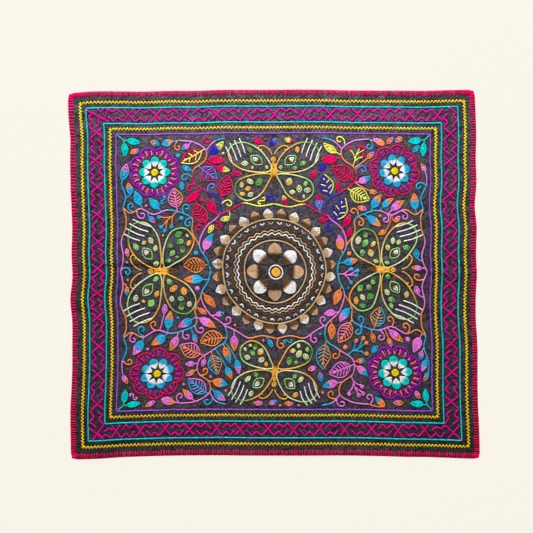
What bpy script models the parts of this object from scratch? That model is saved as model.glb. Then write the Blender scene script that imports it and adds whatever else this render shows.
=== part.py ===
"""Embroidered cloth laid flat: a dark cotton ground with yarn edging stitched over its rim.

Lengths are in metres, with +Z up. The origin is on the surface that the cloth lies on, under
the middle of its outline. +X runs along the long side, and +Y points to the top edge.
"""

import math

import bmesh
import bpy
from mathutils import Vector

MM = 0.001

# The straight-sided cloth that the wavy one is drawn from, measured over its edging
CLOTH_WIDTH = 0.608
CLOTH_HEIGHT = 0.549
CLOTH_THICKNESS = 0.0012
CORNER_REACH = 0.010
CORNER_PULL = 0.0022
OUTLINE_STEPS = 100  # steps from the middle of a side to its end

# The edging: red yarn stitched over the rim, from the top face round to the underside
EDGING_DEPTH = 0.0084
EDGING_YARN = 0.0007
EDGING_ROUND = 0.0006
SEAT_GAP = 0.0003
MITRE_GAP = 0.0003
RIM_GAP = 0.0002

# The rim is held up by the yarn under it, and comes down to the surface further in
RIM_INSET = EDGING_YARN + EDGING_ROUND + RIM_GAP
RIM_RISE = EDGING_YARN + SEAT_GAP
RISE_START = 0.0095
RISE_END = 0.020

# The corded lines are low ridges of laid yarn in the cloth's face
LINE_HALF_WIDTH = 0.0013
LINE_HEIGHT = 0.0010
GRID_STEP = 0.021
GRID_SLACK = 0.01  # share of a step by which a gap may be over it

# How far each edge stands out from its straight line, in millimetres, at even stations.
# Top and bottom run from left to right, left and right from top to bottom.
EDGE_COLUMNS = ("top", "bottom", "left", "right")
EDGE_BOWS = (
    (-3.7, 5.0, 5.4, -2.8),
    (-1.1, 3.9, 4.8, -1.3),
    (-0.9, 1.6, 1.9, -0.3),
    (-1.4, 0.2, 2.2, -1.0),
    (-0.2, -0.8, 1.5, 0.0),
    (-0.2, -1.1, 0.2, -2.5),
    (1.2, -1.3, -0.9, 0.3),
    (1.3, -0.9, 0.1, -0.7),
    (1.2, -0.8, -1.2, 0.5),
    (1.6, -0.7, 1.6, -0.9),
    (1.5, -0.9, -1.0, -0.8),
    (0.5, -1.0, -1.0, 1.5),
    (0.3, -0.2, -0.9, 1.7),
    (0.1, 1.0, 0.3, 1.8),
    (-0.3, 1.5, 1.8, 2.9),
    (1.0, 2.9, 1.5, 4.2),
    (1.5, 4.0, 0.9, 5.3),
)

# Each fold is a soft oval swell of the cloth off the surface, or a trough where its height is
# below zero. Lengths are in millimetres, and the turn is in degrees.
FOLD_COLUMNS = ("x", "y", "half_length", "half_width", "turn", "height")
FOLDS = (
    (-140, 28, 190, 24, -1, 2.2),  # over the crease across the middle
    (-20, -17, 300, 30, 1, 3.0),  # under the crease
    (-110, 6, 240, 9, -1, -3.0),  # the crease itself
    (285, -2, 44, 14, 0, 1.8),
    (106, 91, 62, 18, -41, 1.8),
    (-275, 210, 48, 18, -19, 2.2),
    (-300, 128, 34, 18, 0, 2.2),
    (-304, -37, 34, 20, 5, 2.6),
    (-304, -190, 36, 24, 0, 2.0),
    (304, 118, 36, 18, -8, 2.4),
    (304, 40, 30, 18, 10, 2.0),
    (298, -232, 46, 28, 40, 2.6),
    (-262, -262, 46, 28, 45, 2.8),
    (-190, 268, 26, 24, 0, 1.8),
    (20, 272, 64, 20, 0, 1.4),
    (222, 268, 42, 22, 0, 2.0),
    (-60, -270, 54, 18, 0, 1.6),
    (122, -268, 48, 20, 0, 1.8),
    (-150, 112, 74, 46, 30, 1.6),
    (112, -112, 84, 50, -20, 1.7),
    (-124, -122, 64, 42, -15, 1.4),
    (14, 152, 62, 38, 10, 1.3),
)
CREASE_ROWS = (-3, 2, 6, 10, 17)  # extra grid rows along the crease, in millimetres

# The corded lines, each a rectangle on the straight-sided cloth, in millimetres
LINE_COLUMNS = ("left", "right", "bottom", "top")
CORDED_LINES = (
    (-277.5, 277.0, -246.5, 250.5),  # outer teal line
    (-252.5, 251.5, -222.0, 226.5),  # inner teal line
    (-235.0, 235.0, -204.0, 210.5),  # violet line
)

GROUND_COLOUR = (0.045, 0.040, 0.045)
EDGING_COLOUR = (0.62, 0.01, 0.06)
YARN_ROUGHNESS = 0.85
SHARP_ANGLE = 50


def edge_bow(side, share):
    """Outward bow of one edge at a share of its length, on a smooth curve through the stations."""
    column = EDGE_COLUMNS.index(side)
    last = len(EDGE_BOWS) - 1
    place = min(max(share, 0.0), 1.0) * last
    start = min(int(place), last - 1)
    before, first, second, after = (
        EDGE_BOWS[min(max(start + step, 0), last)][column] for step in (-1, 0, 1, 2)
    )
    t = place - start
    slope_in, slope_out = (second - before) / 2, (after - first) / 2
    bend = 3 * (second - first) - 2 * slope_in - slope_out
    curl = 2 * (first - second) + slope_in + slope_out
    return (first + t * (slope_in + t * (bend + t * curl))) * MM


def outline_place(x, y):
    """Where a point of the straight-sided cloth lies on the wavy one, before it is centred."""
    across = x / CLOTH_WIDTH + 0.5
    down = 0.5 - y / CLOTH_HEIGHT
    shift_x = across * edge_bow("right", down) - (1 - across) * edge_bow("left", down)
    shift_y = (1 - down) * edge_bow("top", across) - down * edge_bow("bottom", across)
    near_x = max(0.0, 1 - (CLOTH_WIDTH / 2 - abs(x)) / CORNER_REACH)
    near_y = max(0.0, 1 - (CLOTH_HEIGHT / 2 - abs(y)) / CORNER_REACH)
    pull = CORNER_PULL * near_x * near_y
    return x + shift_x - math.copysign(pull, x), y + shift_y - math.copysign(pull, y)


def outline_middle():
    """The middle of the wavy outline's box, which becomes the origin."""
    half_x, half_y = CLOTH_WIDTH / 2, CLOTH_HEIGHT / 2
    steps = [step / OUTLINE_STEPS - 1 for step in range(2 * OUTLINE_STEPS + 1)]
    rim = [(half_x * step, side * half_y) for step in steps for side in (-1, 1)]
    rim += [(side * half_x, half_y * step) for step in steps for side in (-1, 1)]
    places = [outline_place(x, y) for x, y in rim]
    return tuple((min(axis) + max(axis)) / 2 for axis in zip(*places))


MIDDLE = outline_middle()


def eased(share):
    """0 to 1 with a level start and end."""
    share = min(max(share, 0.0), 1.0)
    return share * share * (3 - 2 * share)


def fold_height(x, y):
    """Height of all the folds at a point, and never below the surface."""
    height = 0.0
    for row in FOLDS:
        fold = dict(zip(FOLD_COLUMNS, row))
        cosine, sine = math.cos(math.radians(fold["turn"])), math.sin(math.radians(fold["turn"]))
        away_x, away_y = x / MM - fold["x"], y / MM - fold["y"]
        along = (away_x * cosine + away_y * sine) / fold["half_length"]
        aside = (away_y * cosine - away_x * sine) / fold["half_width"]
        height += fold["height"] * max(0.0, 1 - along * along - aside * aside) ** 2
    return max(0.0, height) * MM


def lift(x, y):
    """Height of the cloth's underside over the surface it lies on."""
    inset = min(CLOTH_WIDTH / 2 - abs(x), CLOTH_HEIGHT / 2 - abs(y))
    return fold_height(x, y) + RIM_RISE * eased((RISE_END - inset) / (RISE_END - RISE_START))


def line_ridge(x, y):
    """Height of the corded lines over the cloth's face."""
    height = 0.0
    for left, right, bottom, top in CORDED_LINES:
        away = max(left - x / MM, x / MM - right, bottom - y / MM, y / MM - top) * MM
        height = max(height, LINE_HEIGHT * (1 - abs(away) / LINE_HALF_WIDTH))
    return height


def on_cloth(x, y, over=0.0):
    """The point over the cloth's underside at a place of the straight-sided cloth."""
    placed_x, placed_y = outline_place(x, y)
    return Vector((placed_x - MIDDLE[0], placed_y - MIDDLE[1], lift(x, y) + over))


def filled_in(fixed):
    """The fixed places in order, with even ones between where two are over a grid step apart."""
    ordered = sorted(fixed)
    places = []
    for start, end in zip(ordered, ordered[1:]):
        parts = math.ceil((end - start) / GRID_STEP - GRID_SLACK)
        places += [start + (end - start) * part / parts for part in range(parts)]
    return places + [ordered[-1]]


def grid_places(half_size, sides, extra=()):
    """Places of the cloth's grid lines along one axis: the rim, the corded lines, any extra ones."""
    fixed = [sign * (half_size - inset) for inset in (RIM_INSET, RISE_START) for sign in (-1, 1)]
    for row in CORDED_LINES:
        line = dict(zip(LINE_COLUMNS, row))
        fixed += [line[side] * MM + step * LINE_HALF_WIDTH for side in sides for step in (-1, 0, 1)]
    return filled_in(fixed + [place * MM for place in extra])


COLUMNS = grid_places(CLOTH_WIDTH / 2, ("left", "right"))
ROWS = grid_places(CLOTH_HEIGHT / 2, ("bottom", "top"), CREASE_ROWS)


def clear_scene():
    for old in list(bpy.data.objects):
        bpy.data.objects.remove(old, do_unlink=True)


def yarn_material(name, colour):
    material = bpy.data.materials.new(name)
    material.use_nodes = True
    shader = material.node_tree.nodes["Principled BSDF"]
    shader.inputs["Base Color"].default_value = (*colour, 1.0)
    shader.inputs["Roughness"].default_value = YARN_ROUGHNESS
    shader.inputs["Metallic"].default_value = 0.0
    return material


def unit_grid(columns, rows):
    """A flat grid, and the column and row of each of its vertices."""
    shape = bmesh.new()
    bmesh.ops.create_grid(shape, x_segments=columns, y_segments=rows, size=0.5)
    cells = {
        vertex: (round((vertex.co.x + 0.5) * columns), round((vertex.co.y + 0.5) * rows))
        for vertex in shape.verts
    }
    return shape, cells


def add_object(name, shape, material, collection):
    mesh = bpy.data.meshes.new(name)
    shape.to_mesh(mesh)
    shape.free()
    mesh.shade_smooth()
    mesh.set_sharp_from_angle(angle=math.radians(SHARP_ANGLE))
    mesh.materials.append(material)
    piece = bpy.data.objects.new(name, mesh)
    collection.objects.link(piece)
    return piece


def ground_cloth(material, collection):
    """The cotton ground: a grid for its underside, raised into its face with the corded lines."""
    shape, cells = unit_grid(len(COLUMNS) - 1, len(ROWS) - 1)
    places = {vertex.co.to_tuple(4): cell for vertex, cell in cells.items()}
    raised = bmesh.ops.extrude_face_region(shape, geom=shape.faces[:])["geom"]
    face = {item for item in raised if isinstance(item, bmesh.types.BMVert)}
    for vertex in shape.verts:
        column, row = places[vertex.co.to_tuple(4)]
        x, y = COLUMNS[column], ROWS[row]
        over = CLOTH_THICKNESS + line_ridge(x, y) if vertex in face else 0.0
        vertex.co = on_cloth(x, y, over)
    add_object("ground_cloth", shape, material, collection)


def edging_section():
    """Inner side of the yarn round the rim: inset from the outline, height over the underside."""
    over = CLOTH_THICKNESS + SEAT_GAP
    under = -SEAT_GAP
    turn_in = EDGING_YARN + EDGING_ROUND
    return (
        (EDGING_DEPTH, over),
        (turn_in, over),
        (EDGING_YARN, over - EDGING_ROUND),
        (EDGING_YARN, under + EDGING_ROUND),
        (turn_in, under),
        (EDGING_DEPTH, under),
    )


def edging_strip(name, stations, half_side, to_cloth, material, collection):
    """Edging along one side, mitred at both ends.

    stations are the grid's places along the side, and to_cloth turns a place along the side and
    an inset into a place on the straight-sided cloth.
    """
    section = edging_section()
    shape, cells = unit_grid(len(stations) - 1, len(section) - 1)
    for vertex, (column, row) in cells.items():
        inset, over = section[row]
        mitre = half_side - inset - MITRE_GAP
        along = min(max(stations[column], -mitre), mitre)
        if column in (0, len(stations) - 1):
            along = math.copysign(mitre, stations[column])
        vertex.co = on_cloth(*to_cloth(along, inset), over)
    strip = add_object(name, shape, material, collection)
    yarn = strip.modifiers.new("Yarn", "SOLIDIFY")
    yarn.thickness = EDGING_YARN
    yarn.offset = 1.0
    yarn.use_even_offset = True


def edging(material, collection):
    """The four lengths of yarn edging. Each runs with the cloth on its right-hand side."""
    half_x, half_y = CLOTH_WIDTH / 2, CLOTH_HEIGHT / 2
    back_columns = [-x for x in reversed(COLUMNS)]
    back_rows = [-y for y in reversed(ROWS)]
    sides = {
        "edging_top": (COLUMNS, half_x, lambda along, inset: (along, half_y - inset)),
        "edging_right": (back_rows, half_y, lambda along, inset: (half_x - inset, -along)),
        "edging_bottom": (back_columns, half_x, lambda along, inset: (-along, inset - half_y)),
        "edging_left": (ROWS, half_y, lambda along, inset: (inset - half_x, along)),
    }
    for name, (stations, half_side, to_cloth) in sides.items():
        edging_strip(name, stations, half_side, to_cloth, material, collection)


def build():
    clear_scene()
    cloth = bpy.data.collections.new("embroidered_cloth")
    bpy.context.scene.collection.children.link(cloth)
    ground_cloth(yarn_material("ground_cotton", GROUND_COLOUR), cloth)
    edging(yarn_material("edging_yarn", EDGING_COLOUR), cloth)


build()
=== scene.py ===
import math

import bpy
import numpy as np
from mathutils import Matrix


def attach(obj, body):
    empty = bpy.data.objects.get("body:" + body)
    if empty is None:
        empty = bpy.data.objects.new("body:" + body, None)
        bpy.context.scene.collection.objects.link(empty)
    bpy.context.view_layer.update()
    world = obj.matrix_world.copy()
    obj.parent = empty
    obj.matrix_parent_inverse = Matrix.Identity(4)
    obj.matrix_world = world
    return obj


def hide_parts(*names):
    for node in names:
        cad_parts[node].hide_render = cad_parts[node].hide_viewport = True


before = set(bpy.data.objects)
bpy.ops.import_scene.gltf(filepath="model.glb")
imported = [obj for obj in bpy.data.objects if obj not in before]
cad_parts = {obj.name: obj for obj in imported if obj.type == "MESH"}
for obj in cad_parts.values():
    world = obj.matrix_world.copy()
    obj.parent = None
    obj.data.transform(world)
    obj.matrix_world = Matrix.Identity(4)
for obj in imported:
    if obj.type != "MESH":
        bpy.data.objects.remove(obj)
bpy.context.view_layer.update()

# An embroidered cotton cloth lying flat. Patterns are laid out in millimetres on the cloth as if
# its sides were straight, and are then carried over to the uneven cloth of the frame.

mm = 0.001
rng = np.random.default_rng(41)         # layout and shades
dyeRng = np.random.default_rng(5)       # dyes


# The lie of the cloth

lie = {
    "width": 608.0, "height": 549.0,           # straight-sided cloth, over its edging
    "thickness": 1.2,
    "cornerReach": 10.0, "cornerPull": 2.2,    # how the corners are rounded
    "rimInset": 1.5, "rimRise": 1.0,           # the rim rides on the yarn under it
    "riseStart": 9.5, "riseEnd": 20.0,
    "pucker": 0.4,                             # small unevenness drawn up by the stitches
    "outlineSteps": 401,
}
halfWide, halfHigh = lie["width"] / 2, lie["height"] / 2

# how far each edge stands out from straight, at even stations, left to right or top to bottom
edgeBows = {
    "top": (-3.7, -1.1, -0.9, -1.4, -0.2, -0.2, 1.2, 1.3, 1.2, 1.6, 1.5, 0.5, 0.3, 0.1, -0.3, 1.0, 1.5),
    "bottom": (5.0, 3.9, 1.6, 0.2, -0.8, -1.1, -1.3, -0.9, -0.8, -0.7, -0.9, -1.0, -0.2, 1.0, 1.5, 2.9, 4.0),
    "left": (5.4, 4.8, 1.9, 2.2, 1.5, 0.2, -0.9, 0.1, -1.2, 1.6, -1.0, -1.0, -0.9, 0.3, 1.8, 1.5, 0.9),
    "right": (-2.8, -1.3, -0.3, -1.0, 0.0, -2.5, 0.3, -0.7, 0.5, -0.9, -0.8, 1.5, 1.7, 1.8, 2.9, 4.2, 5.3),
}

# swells and troughs: middle x and y, half length, half width, turn in degrees, height
folds = (
    (-140, 28, 190, 24, -1, 2.2),      # over the crease across the middle
    (-20, -17, 300, 30, 1, 3.0),       # under the crease
    (-110, 6, 240, 9, -1, -3.0),       # the crease
    (285, -2, 44, 14, 0, 1.8),
    (106, 91, 62, 18, -41, 1.8),
    (-275, 210, 48, 18, -19, 2.2),
    (-300, 128, 34, 18, 0, 2.2),
    (-304, -37, 34, 20, 5, 2.6),
    (-304, -190, 36, 24, 0, 2.0),
    (304, 118, 36, 18, -8, 2.4),
    (304, 40, 30, 18, 10, 2.0),
    (298, -232, 46, 28, 40, 2.6),
    (-262, -262, 46, 28, 45, 2.8),
    (-190, 268, 26, 24, 0, 1.8),
    (20, 272, 64, 20, 0, 1.4),
    (222, 268, 42, 22, 0, 2.0),
    (-60, -270, 54, 18, 0, 1.6),
    (122, -268, 48, 20, 0, 1.8),
    (-150, 112, 74, 46, 30, 1.6),
    (112, -112, 84, 50, -20, 1.7),
    (-124, -122, 64, 42, -15, 1.4),
    (14, 152, 62, 38, 10, 1.3),
    (-190, 17, 200, 8, -1, 1.6),       # sharper lines of the crease
    (-190, 2.5, 200, 6, -1, 1.1),
    (175, 17, 190, 7, 0, 1.3),
    (175, 3.5, 190, 5.5, 0, 1.5),
)


def edgeBow(side, share):
    # Catmull-Rom curve through the stations: b(t) = first + t (slopeIn + t (bend + t curl))
    stations = np.array(edgeBows[side])
    last = len(stations) - 1
    place = np.clip(share, 0, 1) * last
    start = np.minimum(place.astype(int), last - 1)
    before, first, second, after = (stations[np.clip(start + step, 0, last)] for step in (-1, 0, 1, 2))
    t = place - start
    slopeIn, slopeOut = (second - before) / 2, (after - first) / 2
    bend = 3 * (second - first) - 2 * slopeIn - slopeOut
    curl = 2 * (first - second) + slopeIn + slopeOut
    return first + t * (slopeIn + t * (bend + t * curl))


def unevenPlace(x, y):
    # bows of facing edges mixed by the distance from each, and corners pulled in
    across, down = x / lie["width"] + 0.5, 0.5 - y / lie["height"]
    shiftX = across * edgeBow("right", down) - (1 - across) * edgeBow("left", down)
    shiftY = (1 - down) * edgeBow("top", across) - down * edgeBow("bottom", across)
    nearX = np.maximum(0, 1 - (halfWide - abs(x)) / lie["cornerReach"])
    nearY = np.maximum(0, 1 - (halfHigh - abs(y)) / lie["cornerReach"])
    pull = lie["cornerPull"] * nearX * nearY
    return x + shiftX - np.sign(x) * pull, y + shiftY - np.sign(y) * pull


def outlineMiddle():
    # middle of the box round the uneven outline
    along = np.linspace(-1, 1, lie["outlineSteps"])
    end = np.ones_like(along)
    x = halfWide * np.concatenate([along, along, end, -end])
    y = halfHigh * np.concatenate([end, -end, along, along])
    return [(place.min() + place.max()) / 2 for place in unevenPlace(x, y)]


middleX, middleY = outlineMiddle()
# seven waves, each of one size: pace to a millimetre, way and phase
puckerWaves = [(1, *wave) for wave in rng.uniform((0.14, 0, 0), (0.42, math.tau, math.tau), (7, 3))]


def ripples(x, y, waves):
    # sum of size sin(pace (x cos way + y sin way) + phase)
    return sum(size * np.sin(pace * (x * math.cos(way) + y * math.sin(way)) + phase)
               for size, pace, way, phase in waves)


def liftOf(x, y):
    # underside height: sum of h (1 - r^2)^2 over the folds, eased rise to the rim, waves for puckers
    height = np.zeros_like(x)
    for foldX, foldY, halfLength, halfWidth, turn, rise in folds:
        cosine, sine = math.cos(math.radians(turn)), math.sin(math.radians(turn))
        along = ((x - foldX) * cosine + (y - foldY) * sine) / halfLength
        aside = ((y - foldY) * cosine - (x - foldX) * sine) / halfWidth
        height += rise * np.maximum(0, 1 - along**2 - aside**2) ** 2
    inset = np.minimum(halfWide - abs(x), halfHigh - abs(y))
    ease = np.clip((lie["riseEnd"] - inset) / (lie["riseEnd"] - lie["riseStart"]), 0, 1)
    rim = lie["rimRise"] * ease**2 * (3 - 2 * ease)
    waves = np.clip(ripples(x, y, puckerWaves) / 3, -1, 1)
    return np.maximum(height, 0) + rim + lie["pucker"] * (0.5 + 0.5 * waves) * (1 - ease)


def evenPlace(x, y):
    # undoes unevenPlace for a spot as it lies: four times, adds what the last guess missed
    evenX, evenY = x + middleX, y + middleY
    for guess in range(4):
        placedX, placedY = unevenPlace(evenX, evenY)
        evenX, evenY = evenX + x + middleX - placedX, evenY + y + middleY - placedY
    return evenX, evenY


def onCloth(x, y, over):
    # metres in the frame, at a height over the cloth's underside
    placedX, placedY = unevenPlace(x, y)
    return np.stack([placedX - middleX, placedY - middleY, liftOf(x, y) + over], -1) * mm


# Meshes

def newPiece(name, shape, material, mapName="yarnMap", colourName="yarnColour"):
    # shape: points, the point of each face corner, the first corner of each face, the map of the
    # corners and the colours of the points
    points, corners, starts, places, colours = shape
    mesh = bpy.data.meshes.new(name)
    for items, field, values in ((mesh.vertices, "co", points.astype(np.float32)),
                                 (mesh.loops, "vertex_index", corners.astype(np.int32)),
                                 (mesh.polygons, "loop_start", starts.astype(np.int32))):
        items.add(len(values))
        items.foreach_set(field, values.ravel())
    mesh.update(calc_edges=True)
    mesh.shade_smooth()
    mesh.uv_layers.new(name=mapName).data.foreach_set("uv", places.astype(np.float32).ravel())
    rgba = np.concatenate([colours, np.ones((len(colours), 1))], 1).astype(np.float32)
    mesh.color_attributes.new(colourName, "FLOAT_COLOR", "POINT").data.foreach_set("color", rgba.ravel())
    mesh.materials.append(material)
    piece = bpy.data.objects.new(name, mesh)
    bpy.context.scene.collection.objects.link(piece)
    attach(piece, "root")
    return piece


# Colours, as they look in daylight

daylight = {
    "ground": (52, 48, 54), "red": (230, 4, 86), "teal": (12, 204, 199), "gold": (255, 217, 10),
    "magenta": (220, 0, 140), "violet": (164, 94, 212), "cyan": (44, 176, 224), "orange": (249, 144, 76),
    "pink": (243, 128, 224), "royal": (58, 42, 208), "crimson": (232, 10, 92), "lemon": (240, 232, 100),
    "leafGreen": (98, 164, 76), "lightGreen": (152, 208, 118), "creamGreen": (212, 228, 160),
    "deepGreen": (70, 128, 58), "amber": (249, 178, 66), "white": (250, 248, 244), "tan": (206, 172, 130),
    "brown": (108, 76, 46), "umber": (72, 52, 38), "turquoise": (0, 212, 208), "purple": (176, 0, 214),
    "sky": (108, 138, 236), "rose": (240, 40, 100),
}
dyesAndHaze = {
    "shade": 0.07, "shadeLimits": (0.8, 1.2),          # from stitch to stitch
    "uneven": 0.1, "unevenLimits": (0.7, 1.3),         # the same, in red, green and blue apart
    "hazeHeights": (-250, -60, 60, 250),                   # painted haze of reflected light: warm yarns turn cooler higher up the cloth, and deeper lower down
    "hazeChange": ((0, 0, 0, 0), (-0.07, 0, 0.02, 0.13), (-0.1, 0, 0.06, 0.32)),
    "band": (0.05, 0, 0.13),                           # from line to line of the magenta band
}


def paint(name):
    # daylight colour to linear: ((c + 0.055) / 1.055)^2.4, or c / 12.92 in the darkest shades
    share = np.array(daylight[name]) / 255
    return np.where(share <= 0.04045, share / 12.92, ((share + 0.055) / 1.055) ** 2.4)


def dyedAndHazed(colours, y):
    # colour (1 + warmth haze(y)) times an uneven dye, warmth = red - the lesser of green and blue; haze(y) is
    # painted haze of reflected light that grows up the cloth
    warmth = np.clip(colours[:, :1] - colours[:, 1:].min(1, keepdims=True), 0, 1)
    hazeChange = np.stack([np.interp(y, dyesAndHaze["hazeHeights"], channel) for channel in dyesAndHaze["hazeChange"]], -1)
    uneven = dyeRng.normal(1, dyesAndHaze["uneven"], colours.shape).clip(*dyesAndHaze["unevenLimits"])
    return np.minimum(colours * (1 + warmth * hazeChange) * uneven, 1)


def blended(names, share, soft=0.13):
    # passes through the named colours in even steps, with short blends between
    stops = np.array([paint(name) for name in names])
    colours = np.tile(stops[0], (len(share), 1))
    for step in range(1, len(names)):
        weight = np.clip((share - step / len(names)) / soft + 0.5, 0, 1)[:, None]
        colours = colours + (stops[step] - stops[step - 1]) * weight
    return colours


# Stitches. A stitch laid flat is a closed spindle: a tip, three rings and a tip.

stitchShape = {
    "station": np.array([0, 0.12, 0.5, 0.88, 1]),
    "girth": np.array([0, 0.82, 1, 0.82, 0]),
    "arch": np.array([-0.45, 0.25, 0.45, 0.25, -0.45]),
    "flatness": 0.55, "sides": 4,
}
smoothSteps = 9      # points of a smooth path between two given ones
laid = {}            # stitches laid flat so far, by piece


def unit(vectors):
    # each vector over its own length
    return vectors / np.linalg.norm(vectors, axis=-1, keepdims=True)


def spindleFaces(stations, sides):
    # corners of each face as point, station and turn: quads between rings, triangles at the tips
    def corner(at, side):
        point = 1 + (at - 1) * sides + side % sides
        return min(max(point, 0), 1 + (stations - 2) * sides), at, side / sides

    faces = []
    for side in range(sides):
        for at in range(stations - 1):
            face = [corner(at, side), corner(at + 1, side), corner(at + 1, side + 1), corner(at, side + 1)]
            if at == 0:
                face = face[:3]
            if at == stations - 2:
                face = [face[1], face[3], face[0]]
            faces.append(face)
    return faces


def spindles(centres, sideways, halfWidth, halfHeight, colours):
    # point = centre + sideways w cos a + outward h sin a, with outward = sideways x heading
    count, stations = centres.shape[:2]
    sides = stitchShape["sides"]
    outward = unit(np.cross(sideways, unit(np.gradient(centres, axis=1))))
    angle = math.tau * np.arange(sides) / sides
    rings = (centres[:, 1:-1, None]
             + sideways[:, 1:-1, None] * (halfWidth[:, 1:-1, None] * np.cos(angle))[..., None]
             + outward[:, 1:-1, None] * (halfHeight[:, 1:-1, None] * np.sin(angle))[..., None])
    points = np.concatenate([centres[:, :1], rings.reshape(count, -1, 3), centres[:, -1:]], 1)
    each = points.shape[1]
    faces = spindleFaces(stations, sides)
    spots = np.array([spot for face in faces for spot in face])
    corner, station = spots[:, :2].T.astype(int)
    turns = np.broadcast_to(spots[:, 2], (count, len(spots)))
    lengths = np.cumsum(np.linalg.norm(np.diff(centres, axis=1), axis=2), axis=1)
    lengths = np.concatenate([np.zeros((count, 1)), lengths], 1) / mm + rng.uniform(0, 50, (count, 1))
    return (points.reshape(-1, 3), (corner + each * np.arange(count)[:, None]).ravel(),
            np.tile([len(face) for face in faces], count),
            np.stack([lengths[:, station], turns], -1).reshape(-1, 2), np.repeat(colours, each, axis=0))


def lay(name, flat, halfWidth, colours):
    # flat: (count, 5, 2) places on the straight-sided cloth
    shade = rng.normal(1, dyesAndHaze["shade"], (len(flat), 1)).clip(*dyesAndHaze["shadeLimits"])
    # each stitch's own shade and uneven dye, with painted haze of reflected light higher up the cloth
    colours = dyedAndHazed(np.broadcast_to(colours, (len(flat), 3)) * shade, flat[:, 2, 1])
    laid.setdefault(name, []).append((flat, np.broadcast_to(halfWidth, (len(flat),)), colours))


def flatBatch(name):
    # heights follow stitchShape's arch, and widths its girth
    flat, halfWidth, colours = (np.concatenate(part) for part in zip(*laid[name]))
    over = lie["thickness"] + stitchShape["arch"] + np.zeros((len(flat), 1))
    centres = onCloth(flat[..., 0], flat[..., 1], over)
    sideways = unit(np.cross(np.gradient(centres, axis=1), (0, 0, 1.0)))
    girth = halfWidth[:, None] * stitchShape["girth"] * mm
    return spindles(centres, sideways, girth, girth * stitchShape["flatness"], colours)


def yarnPiece(name, material, batches=None):
    # joins batches of spindles, or all that is laid for the piece, into one piece
    points, corners, sizes, places, colours = zip(*(batches or [flatBatch(name)]))
    offsets = np.cumsum([0] + [len(part) for part in points[:-1]])
    corners = [part + offset for part, offset in zip(corners, offsets)]
    sizes = np.concatenate(sizes)
    starts = [[0], np.cumsum(sizes)[:-1]]
    shape = [np.concatenate(parts) for parts in (points, corners, starts, places, colours)]
    print("  ", name, "stitched:", len(shape[0]), "points,", int((sizes - 2).sum()), "triangles")
    return newPiece(name, shape, material)


def measured(path, closed=False):
    # a path and the way run at each of its points
    path = np.asarray(path, float)
    path = np.vstack([path, path[:1]]) if closed else path
    return path, np.concatenate([[0], np.cumsum(np.hypot(*np.diff(path, axis=0).T))])


def pathAt(path, lengths, at):
    # x and y read off the path at the given runs along it
    return np.stack([np.interp(at, lengths, column) for column in path.T], -1)


def sewLine(name, path, stitch, colours, closed=False):
    # overlapping stitches: number i is centred on s_i = (i + phase) pitch, reaches r / 2 both ways
    # and slants across the line by the share it has run, from -slant to +slant
    path, lengths = measured(path, closed)
    total = lengths[-1]
    reach = min(stitch["reach"], total)
    count = max(1, round(total / stitch["pitch"]))
    phase = rng.uniform() if closed else 0.5
    centre = (np.arange(count) + phase) * total / count
    if not closed:
        centre = centre.clip(reach / 2, total - reach / 2)
    at = centre[:, None] + (stitchShape["station"] - 0.5) * reach
    behind, at, ahead = (np.mod(at + step, total) if closed else at + step for step in (-0.5, 0, 0.5))
    heading = pathAt(path, lengths, ahead) - pathAt(path, lengths, behind)
    heading /= np.maximum(1e-9, np.hypot(heading[..., 0], heading[..., 1]))[..., None]
    aside = np.stack([-heading[..., 1], heading[..., 0]], -1)
    wander = rng.normal(0, stitch["wander"], (count, 1, 1))
    flat = pathAt(path, lengths, at) + aside * (
        stitch["slant"] * (2 * stitchShape["station"] - 1)[:, None] + wander)
    colours = np.asarray(colours, float)
    if colours.ndim == 2:      # one colour a point of the path
        colours = pathAt(np.vstack([colours, colours[:1]]) if closed else colours, lengths, centre)
    lay(name, flat, stitch["halfWidth"], colours)


def smoothPath(points, closed=False):
    # Catmull-Rom curve through the points
    points = np.asarray(points, float)
    if closed:
        padded = np.vstack([points[-1:], points, points[:2]])
    else:
        padded = np.vstack([2 * points[:1] - points[1:2], points, 2 * points[-1:] - points[-2:-1]])
    a, b, c, d = padded[:-3], padded[1:-2], padded[2:-1], padded[3:]
    t = (np.arange(smoothSteps) / smoothSteps)[:, None, None]
    curve = 0.5 * (2 * b + t * (c - a) + t**2 * (2 * a - 5 * b + 4 * c - d) + t**3 * (3 * b - a - 3 * c + d))
    curve = curve.transpose(1, 0, 2).reshape(-1, 2)
    return curve if closed else np.vstack([curve, points[-1:]])


# Materials. Groups put out only masks and heights; shaders stay in the materials.

def feed(tree, made, inputs):
    # sets a node's inputs to values, or links them to the sockets given
    for slot, value in inputs.items():
        if isinstance(value, bpy.types.NodeSocket):
            tree.links.new(value, made.inputs[slot])
        else:
            made.inputs[slot].default_value = value


def node(tree, kind, inputs=None, **settings):
    # a new node with its settings, and its inputs fed
    made = tree.nodes.new(kind)
    for key, value in settings.items():
        setattr(made, key, value)
    feed(tree, made, inputs or {})
    return made


def maths(tree, value, *steps, clamp=False):
    # takes a value through steps in turn, each an operation and its second value
    for operation, second in zip(steps[::2], steps[1::2]):
        made = node(tree, "ShaderNodeMath", {0: value, 1: second}, operation=operation)
        value = made.outputs[0]
    made.use_clamp = clamp
    return value


def mixColour(tree, share, first, second, blend="MIX"):
    # inputs 0, 6 and 7 of a colour mix are its share and its two colours, and output 2 is the result
    made = node(tree, "ShaderNodeMix", {0: share, 6: first, 7: second}, data_type="RGBA", blend_type=blend)
    return made.outputs[2]


def startGroup(name, vector, numbers, results):
    # a group with one vector input, number inputs with their defaults, and number outputs
    group = bpy.data.node_groups.new(name, "ShaderNodeTree")
    group.interface.new_socket(vector, in_out="INPUT", socket_type="NodeSocketVector")
    for socket, default in numbers.items():
        made = group.interface.new_socket(socket, in_out="INPUT", socket_type="NodeSocketFloat")
        made.default_value = default
    for socket in results:
        group.interface.new_socket(socket, in_out="OUTPUT", socket_type="NodeSocketFloat")
    return group, node(group, "NodeGroupInput").outputs, node(group, "NodeGroupOutput")


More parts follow.
